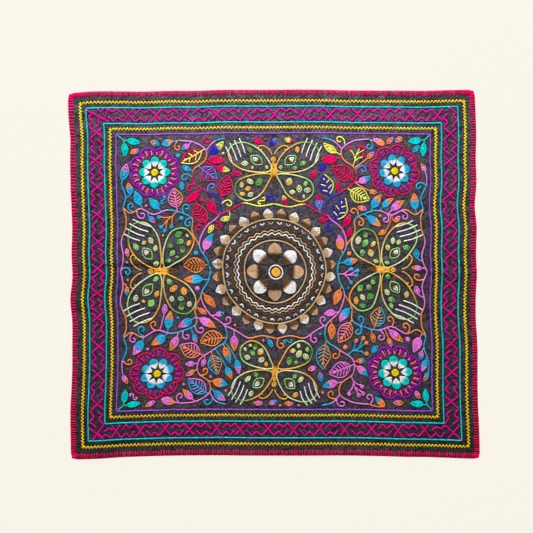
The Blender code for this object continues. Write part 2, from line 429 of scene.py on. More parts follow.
def lintGroup():
    # fibres and dust caught on the cloth: a sparse mask and a soft mottling, both 0 to 1
    group, given, end = startGroup(
        "lint", "Vector", {"Fibre Scale": 900.0, "Mottle Scale": 60.0}, ("Fibres", "Mottle"))
    fibre, mottle = (
        node(group, "ShaderNodeTexNoise",
             {"Vector": given["Vector"], "Scale": given[scale], "Detail": detail}).outputs["Fac"]
        for scale, detail in (("Fibre Scale", 3.0), ("Mottle Scale", 4.0)))
    sparse = maths(group, fibre, "SUBTRACT", 0.52, "MULTIPLY", 5.0, clamp=True)
    feed(group, end, {"Fibres": sparse, "Mottle": mottle})
    return group


def twistGroup():
    # two plies of yarn: h = 0.5 + 0.5 sin(tau (length / pitch + 2 turn)), from the piece's own map
    group, given, end = startGroup("yarnTwist", "Map", {"Pitch": 1.7}, ("Height",))
    split = node(group, "ShaderNodeSeparateXYZ", {0: given["Map"]}).outputs
    laps = maths(group, split["Y"], "MULTIPLY", 2.0)
    height = maths(group, split["X"], "DIVIDE", given["Pitch"], "ADD", laps, "MULTIPLY", math.tau,
                   "SINE", 0, "MULTIPLY", 0.5, "ADD", 0.5)
    feed(group, end, {"Height": height})
    return group


lint = lintGroup()
twist = twistGroup()


def startMaterial(name):
    # a new material, its node tree and its shader
    material = bpy.data.materials.new(name)
    material.use_nodes = True
    return material, material.node_tree, material.node_tree.nodes["Principled BSDF"]


# dark and plies: painted shade in the grooves between the plies of the yarn
yarnLook = {
    "dark": 0.74, "plies": 0.34, "mottle": (0.88, 0.24), "relief": {"Strength": 0.5, "Distance": 0.0003},
    "roughness": 0.8, "fuzz": 0.15, "shader": {"Specular IOR Level": 0.03},
}


def yarnMaterial(name):
    # colour (dark + plies height) (least + spread mottle): painted shade in the grooves between the plies,
    # times the yarn's own mottle; with the plies raised and the fuzz rougher
    material, tree, shader = startMaterial(name)
    colour = node(tree, "ShaderNodeAttribute", attribute_name="yarnColour").outputs["Color"]
    yarnMap = node(tree, "ShaderNodeUVMap", uv_map="yarnMap").outputs["UV"]
    place = node(tree, "ShaderNodeTexCoord").outputs["Object"]
    plies = node(tree, "ShaderNodeGroup", {"Map": yarnMap}, node_tree=twist).outputs["Height"]
    fuzz = node(tree, "ShaderNodeGroup", {"Vector": place}, node_tree=lint).outputs
    least, spread = yarnLook["mottle"]
    mottle = maths(tree, fuzz["Mottle"], "MULTIPLY", spread, "ADD", least)
    plyShadeAndMottle = maths(tree, plies, "MULTIPLY", yarnLook["plies"], "ADD", yarnLook["dark"], "MULTIPLY", mottle)
    plyShadeAndMottleColour = node(tree, "ShaderNodeCombineColor", dict.fromkeys(range(3), plyShadeAndMottle)).outputs[0]
    feed(tree, shader, {
        "Base Color": mixColour(tree, 1.0, colour, plyShadeAndMottleColour, "MULTIPLY"),
        "Normal": node(tree, "ShaderNodeBump", {**yarnLook["relief"], "Height": plies}).outputs["Normal"],
        "Roughness": maths(tree, fuzz["Fibres"], "MULTIPLY", yarnLook["fuzz"], "ADD", yarnLook["roughness"]),
        **yarnLook["shader"],
    })
    return material


clothLook = {
    "threads": 1250.0, "weave": 0.3,                       # threads to a metre, and how much they show
    "dark": 0.44, "light": 2.5, "dusty": 5.5,              # times the cotton's colour
    "middle": 0.42, "patches": 1.1, "patchScale": 70.0, "mottle": 2.9, "fibres": 0.48,
    "lint": {"Fibre Scale": 480.0, "Mottle Scale": 330.0},
    "wrinkles": {"Scale": 95.0, "Detail": 3.0, "Distortion": 0.6},
    "wrinkleRelief": {"Strength": 0.9, "Distance": 0.004},
    "threadRelief": {"Strength": 0.6, "Distance": 0.0003},
    "roughness": 0.9, "shader": {"Specular IOR Level": 0.1, "Sheen Weight": 0.03, "Sheen Roughness": 0.6},
}


def clothMaterial():
    # plain weave of n threads to a metre: w = sin(pi n u) sin(pi n v) / 2, from the cloth's own map
    look = clothLook
    material, tree, shader = startMaterial("groundCotton")
    place = node(tree, "ShaderNodeTexCoord").outputs["Object"]
    # painted shadow next to the stitches and painted light up the cloth, as the colour of the points
    shade = node(tree, "ShaderNodeAttribute", attribute_name="clothPaintedLightAndShadow").outputs["Color"]
    clothMap = node(tree, "ShaderNodeUVMap", uv_map="clothMap").outputs["UV"]
    split = node(tree, "ShaderNodeSeparateXYZ", {0: clothMap}).outputs
    warp, weft = (maths(tree, split[axis], "MULTIPLY", math.pi * look["threads"], "SINE", 0) for axis in "XY")
    weave = maths(tree, warp, "MULTIPLY", weft, "MULTIPLY", 0.5)
    dust = node(tree, "ShaderNodeGroup", {"Vector": place, **look["lint"]}, node_tree=lint).outputs
    patch = node(tree, "ShaderNodeTexNoise", {"Vector": place, "Scale": look["patchScale"]}).outputs["Fac"]
    mottle, patches = (maths(tree, noise, "SUBTRACT", 0.5, "MULTIPLY", look[key])
                       for noise, key in ((dust["Mottle"], "mottle"), (patch, "patches")))
    share = maths(tree, weave, "MULTIPLY", look["weave"], "ADD", mottle, "ADD", patches,
                  "ADD", look["middle"], clamp=True)
    dark, light, dusty = ((*paint("ground") * look[key], 1.0) for key in ("dark", "light", "dusty"))
    fibres = maths(tree, dust["Fibres"], "MULTIPLY", look["fibres"])
    colour = mixColour(tree, fibres, mixColour(tree, share, dark, light), dusty)
    wrinkles = node(tree, "ShaderNodeTexNoise", {"Vector": place, **look["wrinkles"]}).outputs["Fac"]
    normal = node(tree, "ShaderNodeBump", {**look["wrinkleRelief"], "Height": wrinkles}).outputs["Normal"]
    normal = node(tree, "ShaderNodeBump", {**look["threadRelief"], "Height": weave, "Normal": normal})
    feed(tree, shader, {
        "Base Color": mixColour(tree, 1.0, colour, shade, "MULTIPLY"),
        "Normal": normal.outputs["Normal"],
        "Roughness": maths(tree, weave, "MULTIPLY", -0.1, "ADD", look["roughness"]),
        **look["shader"],
    })
    return material


# The edging: red stitches over the rim, with a thread that runs along it

edging = {
    "depth": 8.9, "depthSpread": 0.45, "halfHeight": 0.42, "lean": 0.05, "mitre": (0.97, 1.6),
    "pitch": {"top": (3.65, 3.65), "right": (3.85, 4.1), "bottom": (3.75, 3.85), "left": (3.75, 4.8)},
    "widthShare": {"top": 0.34, "right": 0.262, "bottom": 0.275, "left": 0.268},   # half width, of the pitch
    "widthSpread": 0.1, "cornerWidth": 0.2,                  # wider near the corners
    "crowd": 0.75, "crowdReach": 12.0, "wander": 0.14,       # and closer together
    "tone": 0.1, "toneLimits": (0.7, 1.25), "measured": 2001,      # measured: places on a side
}
rimThread = {
    "halfWidth": 0.6, "wide": 1.1, "high": 0.8, "reach": 1.7,      # reach: of the pitch
    "inset": 0.95, "slant": 0.35, "fromCorner": 0.75,
}
# a stitch from its inner end on the face, over the rim, to its inner end on the underside:
# share of its depth in from the outline, height over the underside, and girth
overRim = np.array([
    (1.0, 0.9, 0), (0.93, 1.5, 0.8), (0.6, 1.72, 1), (0.25, 1.68, 1), (0.12, 1.35, 1), (0.075, 0.6, 1),
    (0.12, -0.18, 1), (0.25, -0.5, 1), (0.6, -0.52, 1), (0.9, -0.4, 0.8), (0.97, 0.1, 0),
])
overTurn = slice(3, 8)      # the part of it that goes round the rim
edgingRows = {
    "top": (halfWide, lambda along, inset: (along, halfHigh - inset)),
    "right": (halfHigh, lambda along, inset: (halfWide - inset, -along)),
    "bottom": (halfWide, lambda along, inset: (-along, inset - halfHigh)),
    "left": (halfHigh, lambda along, inset: (inset - halfWide, along)),
}


def edgingPace(side, along):
    # pitch at each place along a side, and nearness to a corner, exp(-distance / crowdReach)
    reach = edgingRows[side][0]
    pitch = np.interp(along, (-reach, reach), edging["pitch"][side])
    return pitch, np.exp((abs(along) - reach) / edging["crowdReach"])


def edgingPlaces(side):
    # even shares of the run of (1 + crowd nearness) / pitch
    reach = edgingRows[side][0]
    along = np.linspace(-reach, reach, edging["measured"])
    pitch, corner = edgingPace(side, along)
    density = (1 + edging["crowd"] * corner) / pitch
    run = np.concatenate([[0], np.cumsum((density[1:] + density[:-1]) / 2 * np.diff(along))])
    count = round(run[-1])
    return np.interp((np.arange(count) + 0.5) * run[-1] / count, run, along)


def sewEdge(side):
    # arms: points in by depth times share and up by the table, with a small lean; rim thread: one
    # stitch along the outline at each arm
    reach, toCloth = edgingRows[side]
    shareIn, rise, girth = overRim.T
    along = edgingPlaces(side)
    count = len(along)
    pitch, corner = (values[:, None] for values in edgingPace(side, along))
    along = along + rng.normal(0, edging["wander"] * (1 - corner[:, 0]), count)
    depth = edging["depth"] + rng.normal(0, edging["depthSpread"], count)
    depth = np.minimum(depth, (reach - abs(along)) * edging["mitre"][0] + edging["mitre"][1])
    inset = depth[:, None] * shareIn
    inset[:, overTurn] = edging["depth"] * shareIn[overTurn]
    lean = rng.normal(0.0, edging["lean"], (count, 1)) * (1 - shareIn)
    place = np.clip(along[:, None] + lean * edging["depth"], inset - reach, reach - inset)
    before, centres, after = (onCloth(*toCloth(place + step, inset), rise) for step in (-0.5, 0, 0.5))
    spread = rng.normal(1, edging["widthSpread"], (count, 1))
    width = edging["widthShare"][side] * pitch * spread * girth * mm * (1 + edging["cornerWidth"] * corner)
    height = np.full((count, 1), edging["halfHeight"]) * girth * mm
    tone = paint("red") * rng.normal(1, edging["tone"], (count, 1)).clip(*edging["toneLimits"])
    # uneven dye, with painted haze of reflected light higher up the cloth
    tone = dyedAndHazed(tone, toCloth(along, np.zeros(count))[1])
    arms = spindles(centres, unit(after - before), width, height, tone)
    station = stitchShape["station"] - 0.5
    end = reach - rimThread["fromCorner"]
    at = np.clip(along[:, None] + station * pitch * rimThread["reach"], -end, end)
    at += np.linspace(0, 1e-3, len(station))      # keeps the points apart where they are held at a corner
    over = lie["thickness"] / 2 + rimThread["slant"] * station
    centres = onCloth(*toCloth(at, np.full_like(at, rimThread["inset"])), over)
    girth = rimThread["halfWidth"] * stitchShape["girth"] * mm + np.zeros_like(at)
    upright = np.broadcast_to((0, 0, 1.0), centres.shape)
    return [arms, spindles(centres, upright, girth * rimThread["wide"], girth * rimThread["high"], tone)]


print("edging")
edge = yarnPiece("edgeStitching", yarnMaterial("redYarn"),
                 [batch for side in edgingRows for batch in sewEdge(side)])
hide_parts("edging_top", "edging_right", "edging_bottom", "edging_left")


# The border: zigzag rows, corded lines and the traditional band of crossings between them

rope = {"pitch": 2.8, "reach": 5.6, "halfWidth": 1.05, "slant": 0.5, "wander": 0.08}
fineRope = {"pitch": 3.4, "reach": 4.8, "halfWidth": 0.94, "slant": 0.75, "wander": 0.2}
bandRope = {"pitch": 2.6, "reach": 5.4, "halfWidth": 1.38, "slant": 0.22, "wander": 0.07}
zigzag = {
    "pitch": {"bottom": 5.3, "right": 5.05, "top": 5.25, "left": 4.9},
    "swing": 2.25, "halfWidth": 0.78, "overrun": 0.04, "wander": 0.11,
    "drift": 0.05, "driftPace": 0.09,          # how the pitch drifts along a row
}

# left, right, bottom and top of each frame
frames = {
    "outerZigzag": (-285.6, 287.2, -256.5, 257.2),
    "outerCord": (-277.2, 277.4, -247.5, 249.1),
    "innerCord": (-252.2, 251.9, -222.8, 225.4),
    "innerZigzag": (-243.9, 243.2, -213.9, 217.3),
    "violetCord": (-235.0, 235.4, -205.1, 209.3),
}


def framePath(name):
    # the four corners of a frame, anticlockwise from the lower left
    left, right, bottom, top = frames[name]
    return np.array([(left, bottom), (right, bottom), (right, top), (left, top)])


def sewZigzags(name):
    # arms between points (s_k, swing (-1)^k) along each side, their pace drifting by a slow sine
    ring = framePath(name)
    for start, end, pitch in zip(ring, np.roll(ring, -1, axis=0), zigzag["pitch"].values()):
        length = np.hypot(*(end - start))
        heading = (end - start) / length
        aside = np.array([-heading[1], heading[0]])
        count = 2 * round(length / pitch)
        phase = rng.uniform(0, math.tau)
        pace = 1 + zigzag["drift"] * np.sin(np.arange(count) * zigzag["driftPace"] + phase)
        at = np.concatenate([[0], np.cumsum(pace)]) * length / pace.sum()
        swing = zigzag["swing"] * np.where(np.arange(count + 1) % 2, 1, -1)
        spots = start + at[:, None] * heading + swing[:, None] * aside
        spots += rng.normal(0, zigzag["wander"], spots.shape)
        over = (spots[1:] - spots[:-1]) * zigzag["overrun"]
        starts, ends = spots[:-1] - over, spots[1:] + over
        flat = starts[:, None] + (ends - starts)[:, None] * stitchShape["station"][:, None]
        lay("yellowZigzags", flat, zigzag["halfWidth"], paint("gold"))


# One crossing of the band: its lines in shares of the pitch along it, and of the half height
crossing = {
    "free": (-0.175, 0.9),                                                  # where a line starts, on one side
    "run": ((0.215, -0.9), (0.42, -0.32), (0.575, -0.9), (0.75, -0.1)),     # and goes on, on the other
    "wander": 0.4, "overlap": 0.5,
}
# the crossings along each side, as they lie, with the line they stand on and the half height of the band
bandRows = {
    "top": {"at": (-217.7, -176.7, -132.8, -85.8, -41.1, 0.8, 43.7, 84.8, 126.2, 165.5, 204.5, 245.4),
            "middle": 237.3, "half": 10.2, "firstUp": 1, "cutShort": (11, 1)},
    "bottom": {"at": (-237.0, -200.4, -163.1, -126.5, -85.4, -50.6, -8.6, 29.7, 68.4, 106.2, 146.9,
                      186.0, 225.9), "middle": -235.2, "half": 10.4, "firstUp": 1},
    "left": {"at": (-195.3, -150.5, -108.2, -65.1, -28.1, 8.9, 48.9, 89.4, 130.7, 170.7, 211.8),
             "middle": -264.7, "half": 10.6, "firstUp": 1},
    "right": {"at": (-191.3, -146.4, -103.4, -57.8, -14.9, 29.9, 75.2, 119.9, 169.1, 210.8),
              "middle": 264.6, "half": 10.8, "firstUp": -1},
}
# lines that fill the corners of the band, from each corner's middle
cornerLines = {
    "topLeft": (((-11.5, 9.2), (6.5, -1.6), (20, -8.8)), ((4.7, 10.1), (9.5, 5.2), (13.7, 10.1)),
                ((13.7, -7), (17.3, 2), (19.6, 9.7), (27.2, 5.2), (33.5, 9.7), (39.8, 3.8)),
                ((9.2, -2.5), (3.8, -6.5), (6.5, -11.5), (2.5, -16.6))),
    "topRight": (((-1.8, 11), (9.9, 2.9), (5, -1.6), (11.2, -8.3), (3.2, -18.7)),),
    "bottomLeft": (((-11, 6.7), (9.7, -10.4)),
                   ((-6.5, -11.3), (10.6, 10.3), (3.8, 19.8), (8.8, 25.6), (2.2, 30.4)),
                   ((12, 0.4), (18.2, 5.8), (23.6, 2))),
    "bottomRight": (((12.1, -11.5), (-11.3, 9.2), (-17.6, 3.8), (-24.5, 6.8), (-31.1, 1.1)),
                    ((-7.7, -10.6), (10.3, 10)), ((-11.3, 11), (-5, 20), (-9.5, 25.9), (-1.4, 32))),
}


def sewBandLine(points):
    # straight runs that overlap a little where they meet
    for start, end in zip(points, points[1:]):
        over = crossing["overlap"] * (end - start) / np.hypot(*(end - start))
        tone = paint("magenta") * dyeRng.normal((1, 1, 1), dyesAndHaze["band"])
        sewLine("magentaBand", [start - over, end + over], bandRope, tone)


def sewBandRow(row, upright):
    # two lines from each crossing, scaled by the gap to the next one and turned over at every other
    spots = np.array(row["at"])
    line = np.full_like(spots, row["middle"])
    at = evenPlace(line, spots)[1] if upright else evenPlace(spots, line)[0]
    gaps = np.diff(at)
    before, after = np.concatenate([gaps[:1], gaps]), np.concatenate([gaps, gaps[-1:]])
    for k, centre in enumerate(at):
        for way, gap in ((1, after[k]), (-1, before[k])):
            run = crossing["run"][:1] if (k, way) == row.get("cutShort") else crossing["run"]
            path = np.array((crossing["free"],) + run) * (way * gap, row["firstUp"] * (-1) ** k * row["half"])
            path += rng.normal(0, crossing["wander"], path.shape) + (centre, row["middle"])
            sewBandLine(path[:, ::-1] if upright else path)


def sewBandCorners():
    # each corner's lines, moved to the middle of its corner
    left, right, bottom, top = ((a + b) / 2 for a, b in zip(frames["outerCord"], frames["innerCord"]))
    corners = {"topLeft": (left, top), "topRight": (right, top),
               "bottomLeft": (left, bottom), "bottomRight": (right, bottom)}
    for name, lines in cornerLines.items():
        for line in lines:
            sewBandLine(np.array(line) + corners[name])


print("border")
for name in ("outerCord", "innerCord"):
    sewLine("tealCords", framePath(name), rope, paint("teal"), closed=True)
yarnPiece("tealCords", yarnMaterial("tealYarn"))
sewLine("violetCord", framePath("violetCord"), fineRope, paint("violet"), closed=True)
yarnPiece("violetCord", yarnMaterial("violetYarn"))
for name in ("outerZigzag", "innerZigzag"):
    sewZigzags(name)
yarnPiece("yellowZigzags", yarnMaterial("yellowYarn"))
for side, row in bandRows.items():
    sewBandRow(row, side in ("left", "right"))
sewBandCorners()
yarnPiece("magentaBand", yarnMaterial("magentaYarn"))


# The picture inside the violet cord: a medallion, four butterflies and four flowers, with vines
# between them. Everything is placed from the middle of the field, in millimetres.

field = {
    "middle": (0.2, 2.1), "halfWide": 233.0, "halfHigh": 205.0,
    "drift": 1.6, "edgeShare": 0.12, "toCord": 6,
}
# two sets of four waves: size, pace, way and phase
driftWaves = rng.uniform((0.5, 0.012, 0, 0), (1.0, 0.028, math.tau, math.tau), (2, 4, 4))

stem = {"pitch": 2.8, "reach": 4.6, "halfWidth": 1.12, "slant": 0.22, "wander": 0.06}
thin = {"pitch": 2.6, "reach": 4.0, "halfWidth": 0.95, "slant": 0.18, "wander": 0.06}
fill = {
    "pitch": 2.9, "reach": 3.7, "halfWidth": 0.98, "slant": 0.2, "wander": 0.1, "rowPitch": 1.8,
    "leastPoints": 8, "leastLoop": 1.5, "leastMiddle": 2,      # smaller loops and lines are left out
}


def inField(path):
    # the drift of a hand-drawn line: place + drift ease ripples, the ease falling to 0 at the cord
    x, y = path[..., 0], path[..., 1]
    nearest = np.maximum(abs(x) / (field["halfWide"] + field["toCord"]),
                         abs(y) / (field["halfHigh"] + field["toCord"]))
    ease = field["drift"] * np.clip((1 - nearest) / field["edgeShare"], 0, 1)
    return np.stack([place + ease * ripples(x, y, waves) + middle
                     for place, waves, middle in zip((x, y), driftWaves, field["middle"])], -1)


def sew(name, path, stitch, colours, closed=False):
    # a line of the picture, with its drift
    sewLine(name, inField(np.asarray(path, float)), stitch, colours, closed)


# Room left on the field: distance from each 1 mm cell to the nearest thing sewn

cellReach = (235, 207)
roomReach = 44
cellX, cellY = np.meshgrid(*(np.arange(-half, half + 1.0) for half in cellReach))
room = np.minimum(field["halfWide"] - abs(cellX), field["halfHigh"] - abs(cellY))


def cellOf(points):
    # row and column of the cell under each point
    points = np.asarray(points)
    column, row = (np.clip(np.round(points[..., axis] + half), 0, 2 * half).astype(int)
                   for axis, half in enumerate(cellReach))
    return row, column


def occupy(points, radius):
    # room = min(room, distance to the nearest point - its radius), inside a window round the points
    points = np.atleast_2d(points)
    radius = np.broadcast_to(radius, (len(points),))
    rowLow, columnLow = cellOf(points.min(0) - roomReach)
    rowHigh, columnHigh = cellOf(points.max(0) + roomReach)
    window = slice(rowLow, rowHigh + 1), slice(columnLow, columnHigh + 1)
    away = np.hypot(cellX[window][..., None] - points[:, 0], cellY[window][..., None] - points[:, 1]) - radius
    room[window] = np.minimum(room[window], away.min(-1))


def roomiest():
    # the cell that lies farthest from all that is sewn
    row, column = np.unravel_index(room.argmax(), room.shape)
    return room[row, column], np.array([cellX[row, column], cellY[row, column]])


def insideOf(outline):
    # even-odd rule over the cells, an edge at a time
    inside = np.zeros(cellX.shape, bool)
    for (startX, startY), (endX, endY) in zip(outline, np.roll(outline, -1, axis=0)):
        if startY != endY:
            level = (startY > cellY) != (endY > cellY)
            inside ^= level & (cellX < startX + (cellY - startY) * (endX - startX) / (endY - startY))
    return inside


# Leaf-like shapes of half width w(t) = width sin(pi t^skew)^power, the power running from base to tip

shapes = {      # skew, power at the base, power at the tip
    "leaf": (0.72, 0.8, 1.3), "veined": (0.82, 0.85, 1.2), "petal": (1.4, 1.0, 0.6),
    "spot": (1.0, 0.6, 0.6), "lens": (1.0, 0.95, 0.95),
}
shapeShares = np.linspace(0.004, 0.996, 64)      # along a shape, just short of its tips
leastSide = 0.05                                 # a side this near the axis is left out


def halfWidthAt(shape, t, width):
    # w(t) = width sin(pi t^skew)^(basePower + (tipPower - basePower) t)
    skew, basePower, tipPower = shapes[shape]
    return width * np.sin(math.pi * t**skew) ** (basePower + (tipPower - basePower) * t)


def halfOutline(shape, length, width, inset):
    # side of the shape moved inwards along its normal: (x + inset w' / q, w - inset / q), q = |(1, w')|
    t = shapeShares
    side = halfWidthAt(shape, t, width)
    slope = np.gradient(side, t * length)
    q = np.hypot(1, slope)
    x, y = t * length + inset * slope / q, side - inset / q
    return np.stack([x, y], -1)[y > leastSide]


def placed(path, base, turn, bend=0.0):
    # (x, y) on an axis of even curvature b: (sin bx / b - y sin bx, (1 - cos bx) / b + y cos bx), turned
    path = np.asarray(path, float)
    x, y = path[..., 0], path[..., 1]
    bend = bend or 1e-7
    along = np.sin(bend * x) / bend - y * np.sin(bend * x)
    aside = (1 - np.cos(bend * x)) / bend + y * np.cos(bend * x)
    cosine, sine = math.cos(turn), math.sin(turn)
    return np.stack([base[0] + along * cosine - aside * sine, base[1] + along * sine + aside * cosine], -1)


def wayOf(turn):
    # unit vector (cos turn, sin turn)
    return np.array([math.cos(turn), math.sin(turn)])


def turnOf(way):
    # angle of a vector from the x axis
    return math.atan2(way[1], way[0])


def spine(start, end, count):
    # points along the x axis
    return np.stack([np.linspace(start, end, count), np.zeros(count)], -1)


def loopOf(shape, length, width, inset):
    # one side out to the tip, and its mirror image back
    side = halfOutline(shape, length, width, inset)
    return np.concatenate([side, side[::-1] * (1, -1)])


def fillShape(name, shape, length, width, names, base, turn=0.0, bend=0.0):
    # sewn round and round, each row one pitch further in, and closed by a line along the middle
    def sewPart(path, closed):
        sew(name, placed(path, base, turn, bend), fill, blended(names, path[:, 0] / length), closed)

    rows = max(1, round(width / fill["rowPitch"]))
    pitch = width / rows
    start = end = 0
    for row in range(rows):
        loop = loopOf(shape, length, width, (row + 0.5) * pitch)
        if len(loop) < fill["leastPoints"] or np.ptp(loop[:, 0]) < fill["leastLoop"]:
            break
        sewPart(loop, True)
        start, end = loop[:, 0].min() + pitch / 2, loop[:, 0].max() - pitch / 2
    if end - start > fill["leastMiddle"]:
        sewPart(spine(start, end, 9), False)


# What grows on the vines: each takes its base, its turn, its size, its colours and its bend

def sewLeaf(base, turn, size, names, bend):
    # a filled leaf on its bent axis
    fillShape("leaves", "leaf", size["length"], size["width"], names, base, turn, bend)


veinedLeaf = {
    "inset": 0.4, "middleLine": (0, 0.45, 0.88),      # shares of the length
    "veins": 5, "from": 0.14, "to": 0.66, "run": 0.13, "ahead": 0.15, "farthest": 0.95,
    "nearMiddle": 0.6, "shortOfSide": 2.2, "least": 1.8,
}


def sewVeinedLeaf(base, turn, size, names, bend):
    # two sides, a middle line and five pairs of slanting veins
    def sewVein(path, colour):
        sew("veinedLeaves", placed(path, base, turn, bend), thin, paint(colour))

    length, width, look = size["length"], size["width"], veinedLeaf
    for side, colour in ((1, names[0]), (-1, names[-1])):
        sewVein(halfOutline("veined", length, width, look["inset"]) * (1, side), colour)
    sewVein([(length * share, 0) for share in look["middleLine"]], names[0])
    for k, start in enumerate(np.linspace(look["from"], look["to"], look["veins"])):
        for side in (1, -1):
            across = halfWidthAt("veined", min(start + look["ahead"], look["farthest"]), width)
            reach = max(look["least"], across - look["shortOfSide"])
            root = start * length, side * look["nearMiddle"]
            tip = (start + look["run"]) * length, side * reach
            sewVein([root, tip], names[(k + (side > 0)) % len(names)])


def windingPath(heading, step):
    # steps along a changing heading
    return np.stack([np.cumsum(np.cos(heading)), np.cumsum(np.sin(heading))], -1) * step


curlShape = {"points": 40, "start": 0.5, "wind": 5.4}


def curlPath(length, bend):
    # heading start s + wind s^2 over the share s of its length, so the line winds in on itself
    s = np.linspace(0, 1, curlShape["points"])
    heading = np.sign(bend) * (curlShape["start"] * s + curlShape["wind"] * s**2)
    return windingPath(heading, length / (curlShape["points"] - 1))


def sewCurl(base, turn, size, names, bend):
    # one line along the winding path
    sew("vines", placed(curlPath(size["length"], bend), base, turn), stem, paint(names[0]))


twig = {
    "lines": (((0, 0), (10, 0.6), (20, 0), (30, 1.5)), ((8, 0), (16, 6), (19, 11)),
              ((12, 0), (20, -6), (23, -12)), ((19, 0), (26, 5), (30, 9))),
    "length": 30, "bud": (6.2, 3.1),
}


def sewTwig(base, turn, size, names, bend):
    # smooth lines with a bud at the end of each
    for line in twig["lines"]:
        line = np.array(line) * (1, np.sign(bend)) * size["length"] / twig["length"]
        sew("vines", placed(smoothPath(line), base, turn), thin, paint(names[0]))
        fillShape("leaves", "spot", *twig["bud"], names[-1:], placed(line[-1] - (0.5, 0), base, turn), turn)


# how each is sewn, its shape, and the least and most of its length, width, stalk and lean in degrees
growing = {
    "veined": (sewVeinedLeaf, "veined", (32, 38), (10.4, 12), (4, 7), (48, 80)),
    "broad": (sewLeaf, "leaf", (25, 30), (5.8, 6.8), (5, 9), (40, 80)),
    "narrow": (sewLeaf, "leaf", (20, 25), (4.8, 5.5), (4, 8), (35, 85)),
    "small": (sewLeaf, "leaf", (15, 18), (4.0, 4.5), (3, 6), (35, 90)),
    "twig": (sewTwig, None, (27, 31), (11, 12), (0, 0), (50, 75)),
    "curl": (sewCurl, None, (27, 33), (6, 7), (0, 0), (35, 60)),
}
growth = {
    "tries": 3, "clear": 1.0, "bend": (-0.016, 0.008), "stalkOver": 1.5,
    "from": 4, "toEnd": 1, "ahead": 1.5, "vineCover": 1.2, "offAxis": 5,
    "steps": {"veined": 4, "twig": 9, "broad": 4, "curl": 6, "narrow": 3, "small": 3},      # along a vine
    "most": {"veined": 18, "twig": 6, "broad": 50, "curl": 40, "narrow": 60, "small": 60},
}
# colours of leaves, with the warm ones in the upper middle
warmPart = {"halfWide": 120, "over": 48}
warmPairs = (
    ("crimson", "lemon"), ("royal", "sky"), ("lemon", "crimson"), ("crimson",), ("royal", "lemon"),
    ("lemon",), ("royal",), ("crimson", "rose"), ("sky", "crimson"),
)
coolPairs = (
    ("cyan", "orange"), ("orange", "pink"), ("pink", "cyan"), ("cyan",), ("orange",), ("pink", "orange"),
    ("cyan", "pink"), ("pink",), ("orange", "cyan"),
)


def pairAt(place):
    # drawn from the warm pairs in the upper middle, and from the cool ones elsewhere
    warm = abs(place[0]) < warmPart["halfWide"] and place[1] > warmPart["over"]
    pairs = warmPairs if warm else coolPairs
    return pairs[rng.integers(len(pairs))]


def randomSize(kind, keys=("length", "width", "stalk", "lean")):
    # each measure drawn evenly between its least and its most
    return {key: rng.uniform(*limits) for key, limits in zip(keys, growing[kind][2:])}


footprints = {
    "curl": {"from": 8, "radius": 1.2, "eyeFrom": 12, "eyeRadius": 3.4},      # points of the curl
    "twig": {"span": (0.3, 1.05, 6), "radii": (5, 9, 12.5, 13.5, 11, 6.0)},
    "leaf": {"span": (0.06, 0.97, 9), "over": 0.2},
}


def footprint(kind, base, turn, size, bend):
    # discs that a motif covers: their middles and radii
    look = footprints.get(kind, footprints["leaf"])
    if kind == "curl":
        spots = placed(curlPath(size["length"], bend), base, turn)[look["from"]:]
        radii = np.append(np.full(len(spots), look["radius"]), look["eyeRadius"])
        return np.vstack([spots, spots[look["eyeFrom"]:].mean(0)]), radii
    line = spine(*look["span"])
    if kind == "twig":
        return placed(line * size["length"], base, turn), np.array(look["radii"])
    radii = halfWidthAt(growing[kind][1], line[:, 0], size["width"]) + look["over"]
    return placed(line * size["length"], base, turn, bend), radii


def grow(kind, root, heading, side):
    # tries one motif at a place on a vine, and keeps it if there is room for it
    for attempt in range(growth["tries"]):
        size = randomSize(kind)
        turn = heading + side * math.radians(size["lean"])
        way = wayOf(turn)
        base = np.asarray(root) + size["stalk"] * way
        bend = side if kind in ("curl", "twig") else side * rng.uniform(*growth["bend"])
        spots, radii = footprint(kind, base, turn, size, bend)
        if np.all(room[cellOf(spots)] >= radii + growth["clear"]):
            names = pairAt(base)
            growing[kind][0](base, turn, size, names, bend)
            if size["stalk"]:
                sew("vines", [root, base + growth["stalkOver"] * way], thin, paint(names[0]))
            occupy(spots, radii)
            return True
    return False


# vines in one quarter of the field, and the colours they pass through
vines = (
    (((95, 0), (99, 16), (109, 38), (100, 64), (80, 82), (78, 104), (97, 119), (118, 134), (119, 154),
      (102, 168), (100, 184), (118, 196), (142, 199)),
     ("cyan", "pink", "royal", "crimson", "orange", "pink")),
    (((109, 38), (120, 58), (120, 78), (138, 88), (158, 92), (178, 86), (198, 95), (214, 88), (226, 96)),
     ("orange", "cyan", "pink", "orange")),
    (((230, 0), (224, 22), (228, 46), (222, 66), (222, 84), (226, 96), (222, 112), (228, 130)),
     ("pink", "orange", "cyan")),
    (((80, 82), (62, 90), (44, 100), (22, 96), (0, 100)), ("crimson", "lemon")),
    (((100, 184), (88, 196), (72, 200)), ("pink", "cyan")),
)
coolVines = {"royal": "cyan", "crimson": "pink", "lemon": "orange"}      # in the lower half
quarters = ((1, 1), (-1, 1), (-1, -1), (1, -1))


def sewVines():
    # the quarter's vines and their mirror images, with a curl at each free end
    lines = []
    for mirror in quarters:
        for points, names in vines:
            line = smoothPath(points) * mirror
            if mirror[1] < 0:
                names = [coolVines.get(name, name) for name in names]
            sew("vines", line, stem, blended(names, np.linspace(0, 1, len(line)), 0.05))
            occupy(line[::2], growth["vineCover"])
            lines.append(line)
    for line in lines:
        if abs(line[-1]).min() > growth["offAxis"]:
            any(grow("curl", line[-1], turnOf(line[-1] - line[-2]), side) for side in (1, -1))
    return lines


